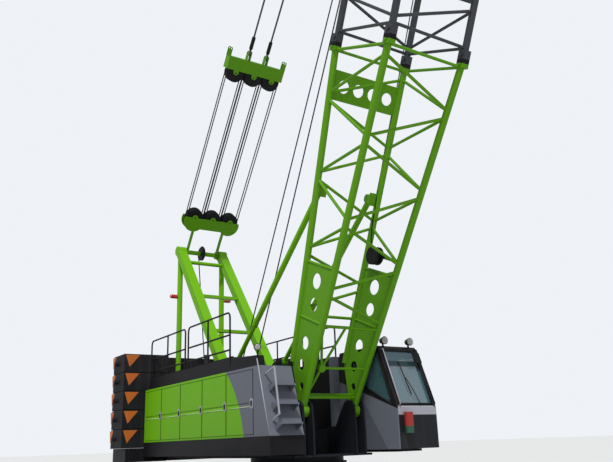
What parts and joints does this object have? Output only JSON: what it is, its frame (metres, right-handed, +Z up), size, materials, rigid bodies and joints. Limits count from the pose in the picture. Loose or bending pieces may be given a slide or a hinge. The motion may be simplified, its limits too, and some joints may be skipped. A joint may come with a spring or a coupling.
{
  "type": "lattice boom crawler crane",
  "caption": "Crawler crane on two tracks with a turning house, a cab, a gantry, a stacked counterweight and a raised lattice boom with hook block.",
  "frame": {"origin": "on the ground, under the middle of the whole crane's bounding box; the swing centre is 4.549 m behind it", "axes": "+X forward, the way the boom leans; +Y to the machine's left, the cab's side; +Z up"},
  "size_m": [20.2171, 6.05, 30.8419],
  "materials": {
    "lime": "gloss, weathered",
    "charcoal": "satin",
    "track_steel": "worn",
    "grey": "satin",
    "black": "matte",
    "trim": "matte",
    "window": "clear, lightly tinted",
    "sheave": "greased",
    "wire": "dull",
    "rod": "polished",
    "forged": "worn"
  },
  "bodies": {
    "undercarriage": {"carbody": "charcoal", "crawler_frames": "charcoal", "track_left": "track_steel", "track_right": "track_steel", "track_wheels": "charcoal"},
    "upperworks": {"bed": "charcoal", "side_decks": "black", "counterweight_tray": "black", "counterweight_slabs": "charcoal", "right_housing": "lime", "left_housing": "lime", "engine": "charcoal", "front_steps": "grey", "walkways": "black", "cab_shell": "grey", "cab_glass": "window", "cab_interior": "trim", "cab_lamps": "black", "gantry": "lime"},
    "boom": {"boom_base": "lime", "boom_insert_1": "grey", "boom_insert_2": "grey", "boom_top": "lime"},
    "spreader": {"lower_spreader": "lime", "spreader_sheaves": "sheave"},
    "bridle": {"bridle": "lime", "bridle_sheaves": "sheave"},
    "pendants": {"pendants": "wire"},
    "backstop_tubes": {"backstop_tubes": "lime"},
    "backstop_rods": {"backstop_rods": "rod"},
    "head_sheaves": {"head_sheaves": "sheave"},
    "rope_becket": {"rope_becket": "forged"},
    "hook_block": {"hook_block": "lime"},
    "hook": {"hook": "forged"},
    "front_drum": {"front_drum": "charcoal"},
    "rear_drum": {"rear_drum": "charcoal"},
    "luff_drum": {"luff_drum": "charcoal"},
    "cab_door": {"cab_door": "grey"},
    "right_door_1": {"right_door_1": "lime"},
    "right_door_2": {"right_door_2": "lime"},
    "right_door_3": {"right_door_3": "lime"},
    "right_door_4": {"right_door_4": "lime"},
    "right_door_5": {"right_door_5": "lime"},
    "left_door_1": {"left_door_1": "lime"},
    "left_door_2": {"left_door_2": "lime"}
  },
  "joints": [
    {"name": "swing", "type": "hinge", "parent": "undercarriage", "child": "upperworks", "pos_m": [-4.54855, 0, 1.3], "axis": [0, 0, 1], "continuous": true},
    {"name": "luff", "type": "hinge", "parent": "upperworks", "child": "boom", "pos_m": [-3.34855, 0, 2.242], "axis": [0, -1, 0], "range_deg": [-36, 14]},
    {"name": "spreader_swing", "type": "hinge", "parent": "upperworks", "child": "spreader", "pos_m": [-9.40255, 0, 6.842], "axis": [0, -1, 0], "range_deg": [-30.5, 12]},
    {"name": "bridle_travel", "type": "slide", "parent": "spreader", "child": "bridle", "axis": [0.6102, 0, 0.7923], "range_m": [-1.82, 4.65]},
    {"name": "pendant_pivot", "type": "hinge", "parent": "boom", "child": "pendants", "pos_m": [8.68443, 0, 30.32571], "axis": [0, -1, 0], "range_deg": [-0.3, 0.5]},
    {"name": "backstop_pivot", "type": "hinge", "parent": "boom", "child": "backstop_tubes", "pos_m": [-2.41833, 0, 6.35964], "axis": [0, -1, 0], "range_deg": [-4.7, 11.7]},
    {"name": "backstop_stroke", "type": "slide", "parent": "backstop_tubes", "child": "backstop_rods", "axis": [-0.7788, 0, -0.6273], "range_m": [-0.6, 1.52]},
    {"name": "head_sheave_spin", "type": "hinge", "parent": "boom", "child": "head_sheaves", "pos_m": [9.26029, 0, 30.56191], "axis": [0, 1, 0], "continuous": true},
    {"name": "becket_pivot", "type": "hinge", "parent": "boom", "child": "rope_becket", "pos_m": [9.81855, 0, 30.29146], "axis": [0, -1, 0], "range_deg": [-15, 37]},
    {"name": "hoist", "type": "slide", "parent": "rope_becket", "child": "hook_block", "axis": [0, 0, 1], "range_m": [-12, 3.2]},
    {"name": "hook_swivel", "type": "hinge", "parent": "hook_block", "child": "hook", "pos_m": [9.81855, 0, 23.69146], "axis": [0, 0, 1], "continuous": true},
    {"name": "front_drum_spin", "type": "hinge", "parent": "upperworks", "child": "front_drum", "pos_m": [-6.24855, 0, 2.48], "axis": [0, 1, 0], "continuous": true},
    {"name": "rear_drum_spin", "type": "hinge", "parent": "upperworks", "child": "rear_drum", "pos_m": [-7.59855, 0, 2.42], "axis": [0, 1, 0], "continuous": true},
    {"name": "luff_drum_spin", "type": "hinge", "parent": "upperworks", "child": "luff_drum", "pos_m": [-8.66855, 0, 2.35], "axis": [0, 1, 0], "continuous": true},
    {"name": "right_door_1_hinge", "type": "hinge", "parent": "upperworks", "child": "right_door_1", "pos_m": [-9.06905, -1.586, 2.4], "axis": [0, 0, -1], "range_deg": [0, 85]},
    {"name": "right_door_2_hinge", "type": "hinge", "parent": "upperworks", "child": "right_door_2", "pos_m": [-7.97905, -1.586, 2.4], "axis": [0, 0, -1], "range_deg": [0, 85]},
    {"name": "right_door_3_hinge", "type": "hinge", "parent": "upperworks", "child": "right_door_3", "pos_m": [-6.82905, -1.586, 2.4], "axis": [0, 0, -1], "range_deg": [0, 85]},
    {"name": "right_door_4_hinge", "type": "hinge", "parent": "upperworks", "child": "right_door_4", "pos_m": [-5.64905, -1.586, 2.4], "axis": [0, 0, -1], "range_deg": [0, 85]},
    {"name": "right_door_5_hinge", "type": "hinge", "parent": "upperworks", "child": "right_door_5", "pos_m": [-4.50905, -1.586, 2.4], "axis": [0, 0, -1], "range_deg": [0, 85]},
    {"name": "left_door_1_hinge", "type": "hinge", "parent": "upperworks", "child": "left_door_1", "pos_m": [-7.97905, 1.586, 2.4], "axis": [0, 0, 1], "range_deg": [0, 85]},
    {"name": "left_door_2_hinge", "type": "hinge", "parent": "upperworks", "child": "left_door_2", "pos_m": [-6.82905, 1.586, 2.4], "axis": [0, 0, 1], "range_deg": [0, 85]},
    {"name": "cab_door_hinge", "type": "hinge", "parent": "upperworks", "child": "cab_door", "pos_m": [-3.54855, 1.674, 2.4], "axis": [0, 0, 1], "range_deg": [0, 80]}
  ],
  "couplings": [
    {"joint": "spreader_swing", "follows": "luff", "ratio": 0.844},
    {"joint": "bridle_travel", "follows": "luff", "m_per_rad": -7.384},
    {"joint": "pendant_pivot", "follows": "luff", "ratio": -0.01},
    {"joint": "backstop_pivot", "follows": "luff", "ratio": -0.322},
    {"joint": "backstop_stroke", "follows": "luff", "m_per_rad": -2.401},
    {"joint": "becket_pivot", "follows": "luff", "ratio": -1}
  ]
}
